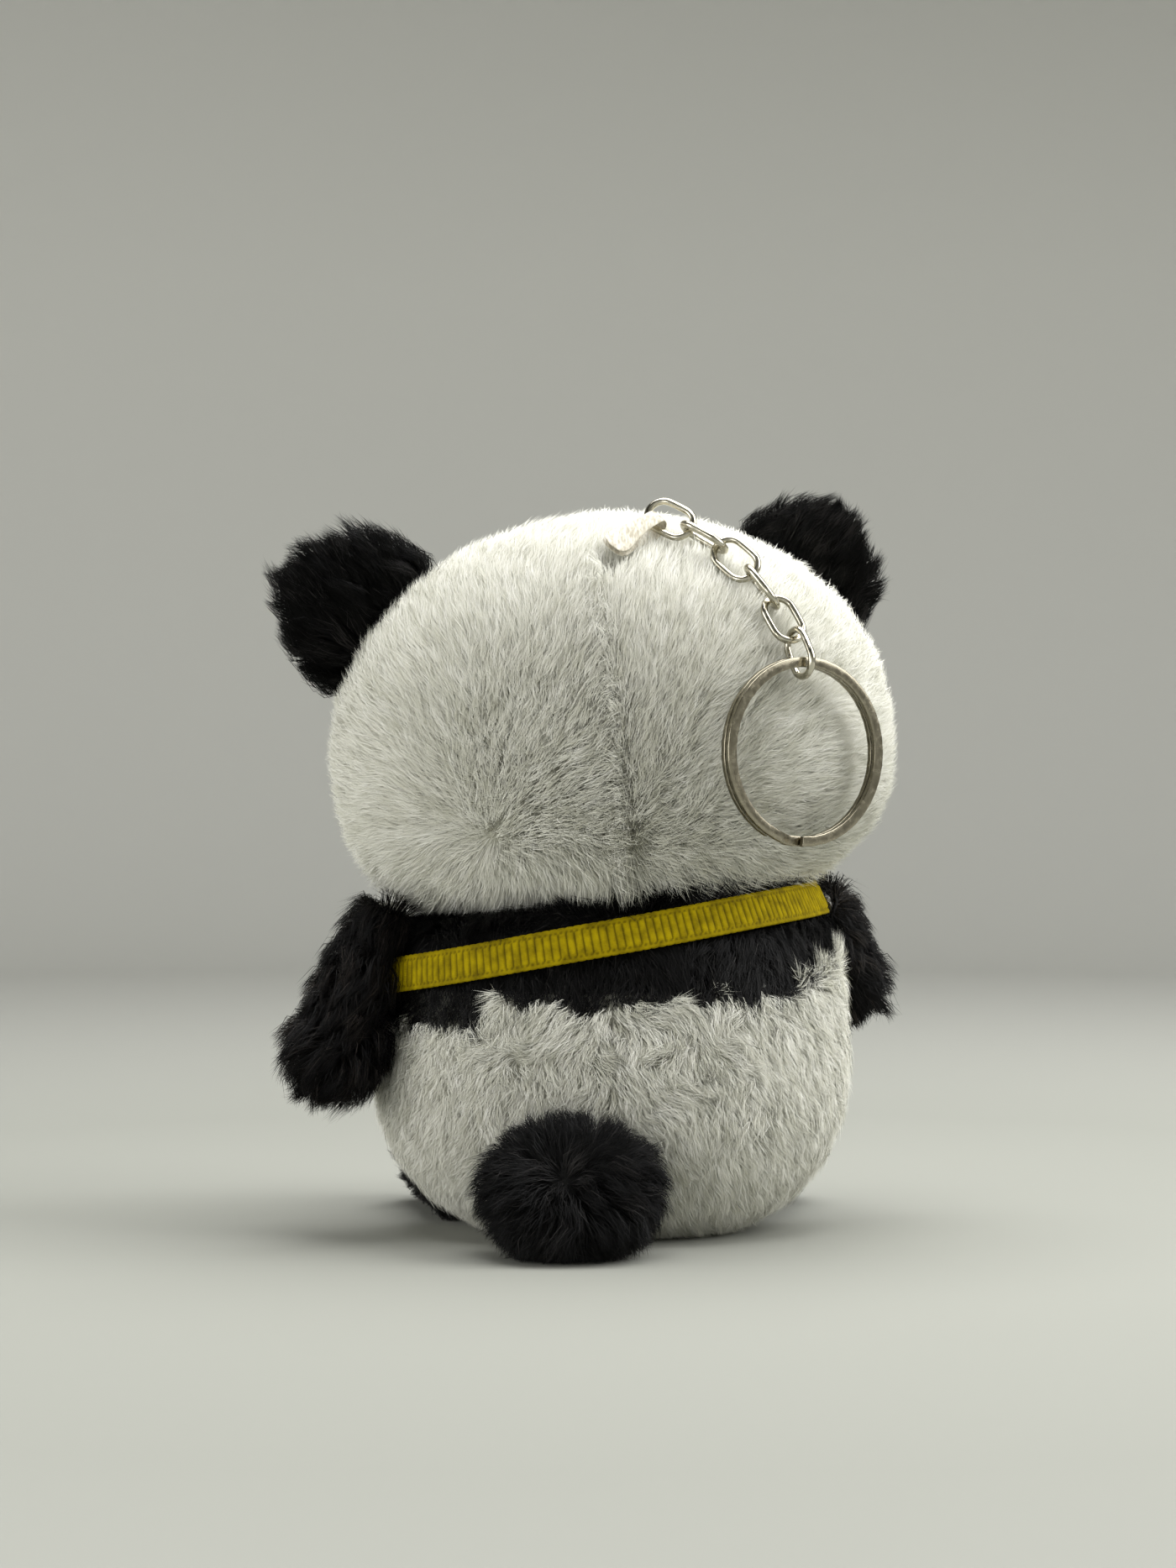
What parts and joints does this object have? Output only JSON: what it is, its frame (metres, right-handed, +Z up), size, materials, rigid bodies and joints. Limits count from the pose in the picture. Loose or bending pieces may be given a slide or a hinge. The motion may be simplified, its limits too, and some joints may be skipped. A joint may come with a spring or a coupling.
{
  "type": "plush keychain",
  "caption": "Seated panda plush with a ribbon sash, hung by a ribbon loop, a short oval-link chain and a split ring.",
  "frame": {"origin": "middle of the oval base panel, on the surface that the plush sits on", "axes": "+Z up, the face looks along -Y, the plush's own left is +X"},
  "size_m": [0.0996, 0.0912, 0.121],
  "materials": {
    "white_plush": "long soft pile",
    "black_plush": "long soft pile",
    "stuffing": "polyester fibre fill",
    "yellow_ribbon": "grosgrain weave",
    "white_ribbon": "thin satin weave",
    "nickel_steel": "nickel plated, slightly worn",
    "black_plastic": "polished",
    "clear_plastic": "natural"
  },
  "bodies": {
    "plush": {"head_back_left": "white_plush", "head_back_right": "white_plush", "head_face": "white_plush", "head_stuffing": "stuffing", "eye_patch_left": "black_plush", "eye_patch_right": "black_plush", "eye_left": "black_plastic", "eye_right": "black_plastic", "eye_washer_left": "clear_plastic", "eye_washer_right": "clear_plastic", "muzzle_cover": "white_plush", "muzzle_stuffing": "stuffing", "nose": "black_plastic", "base_panel": "white_plush", "body_back_left": "white_plush", "body_back_right": "white_plush", "body_front": "white_plush", "yoke_back_left": "black_plush", "yoke_back_right": "black_plush", "yoke_front": "black_plush", "body_stuffing": "stuffing", "ribbon_sash": "yellow_ribbon"},
    "ear_left": {"ear_left_back": "black_plush", "ear_left_front": "black_plush"},
    "ear_right": {"ear_right_back": "black_plush", "ear_right_front": "black_plush"},
    "arm_left": {"arm_left_cover": "black_plush", "arm_left_stuffing": "stuffing"},
    "arm_right": {"arm_right_cover": "black_plush", "arm_right_stuffing": "stuffing"},
    "leg_left": {"leg_left_cover": "black_plush", "leg_left_stuffing": "stuffing"},
    "leg_right": {"leg_right_cover": "black_plush", "leg_right_stuffing": "stuffing"},
    "tail": {"tail_cover": "black_plush", "tail_stuffing": "stuffing"},
    "hang_loop": {"hang_loop": "white_ribbon"},
    "link_1": {"link_1": "nickel_steel"},
    "link_2": {"link_2": "nickel_steel"},
    "link_3": {"link_3": "nickel_steel"},
    "link_4": {"link_4": "nickel_steel"},
    "link_5": {"link_5": "nickel_steel"},
    "link_6": {"link_6": "nickel_steel"},
    "split_ring": {"split_ring": "nickel_steel"}
  },
  "joints": [
    {"name": "ear_left_flex", "type": "hinge", "parent": "plush", "child": "ear_left", "pos_m": [0.03841, 0.002, 0.09969], "axis": [0.5878, 0, -0.809], "range_deg": [-10, 10]},
    {"name": "ear_right_flex", "type": "hinge", "parent": "plush", "child": "ear_right", "pos_m": [-0.03034, -0.011, 0.10683], "axis": [0.8746, 0, 0.4848], "range_deg": [-10, 10]},
    {"name": "arm_left_lift", "type": "hinge", "parent": "plush", "child": "arm_left", "pos_m": [0.0365, 0.009, 0.05564], "axis": [0, -1, 0], "range_deg": [0, 45]},
    {"name": "arm_right_lift", "type": "hinge", "parent": "plush", "child": "arm_right", "pos_m": [-0.0345, -0.005, 0.05698], "axis": [0, 1, 0], "range_deg": [0, 45]},
    {"name": "leg_left_lift", "type": "hinge", "parent": "plush", "child": "leg_left", "pos_m": [0.0235, -0.011, 0.01722], "axis": [-1, 0, 0], "range_deg": [0, 10]},
    {"name": "leg_right_lift", "type": "hinge", "parent": "plush", "child": "leg_right", "pos_m": [-0.021, -0.018, 0.01722], "axis": [-1, 0, 0], "range_deg": [0, 10]},
    {"name": "tail_lift", "type": "hinge", "parent": "plush", "child": "tail", "pos_m": [0.0065, 0.0268, 0.01655], "axis": [1, 0, 0], "range_deg": [0, 15]},
    {"name": "hang_loop_bend", "type": "hinge", "parent": "plush", "child": "hang_loop", "pos_m": [0.0008, 0.0227, 0.1116], "axis": [-0.6816, 0.3925, -0.6175], "range_deg": [0, 30]},
    {"name": "link_1_swing", "type": "hinge", "parent": "hang_loop", "child": "link_1", "pos_m": [-0.00826, 0.01622, 0.11748], "axis": [0.2086, 0.9132, 0.3502], "range_deg": [0, 30]},
    {"name": "link_2_swing", "type": "hinge", "parent": "link_1", "child": "link_2", "pos_m": [-0.01282, 0.01821, 0.11501], "axis": [0.5333, 0.1939, -0.8234], "range_deg": [0, 30]},
    {"name": "link_3_swing", "type": "hinge", "parent": "link_2", "child": "link_3", "pos_m": [-0.01823, 0.02015, 0.11176], "axis": [0.1729, 0.9413, 0.2899], "range_deg": [0, 30]},
    {"name": "link_4_swing", "type": "hinge", "parent": "link_3", "child": "link_4", "pos_m": [-0.02263, 0.02263, 0.10749], "axis": [0.7087, 0.1291, -0.6936], "range_deg": [0, 30]},
    {"name": "link_5_swing", "type": "hinge", "parent": "link_4", "child": "link_5", "pos_m": [-0.02627, 0.02475, 0.10239], "axis": [0.1581, 0.9446, 0.2876], "range_deg": [0, 30]},
    {"name": "link_6_swing", "type": "hinge", "parent": "link_5", "child": "link_6", "pos_m": [-0.02906, 0.02701, 0.09684], "axis": [0.8599, 0.4301, -0.275], "range_deg": [0, 30]},
    {"name": "split_ring_swing", "type": "hinge", "parent": "link_6", "child": "split_ring", "pos_m": [-0.0302, 0.0292, 0.0933], "axis": [0.8511, 0.525, 0.0084], "range_deg": [0, 40]}
  ]
}
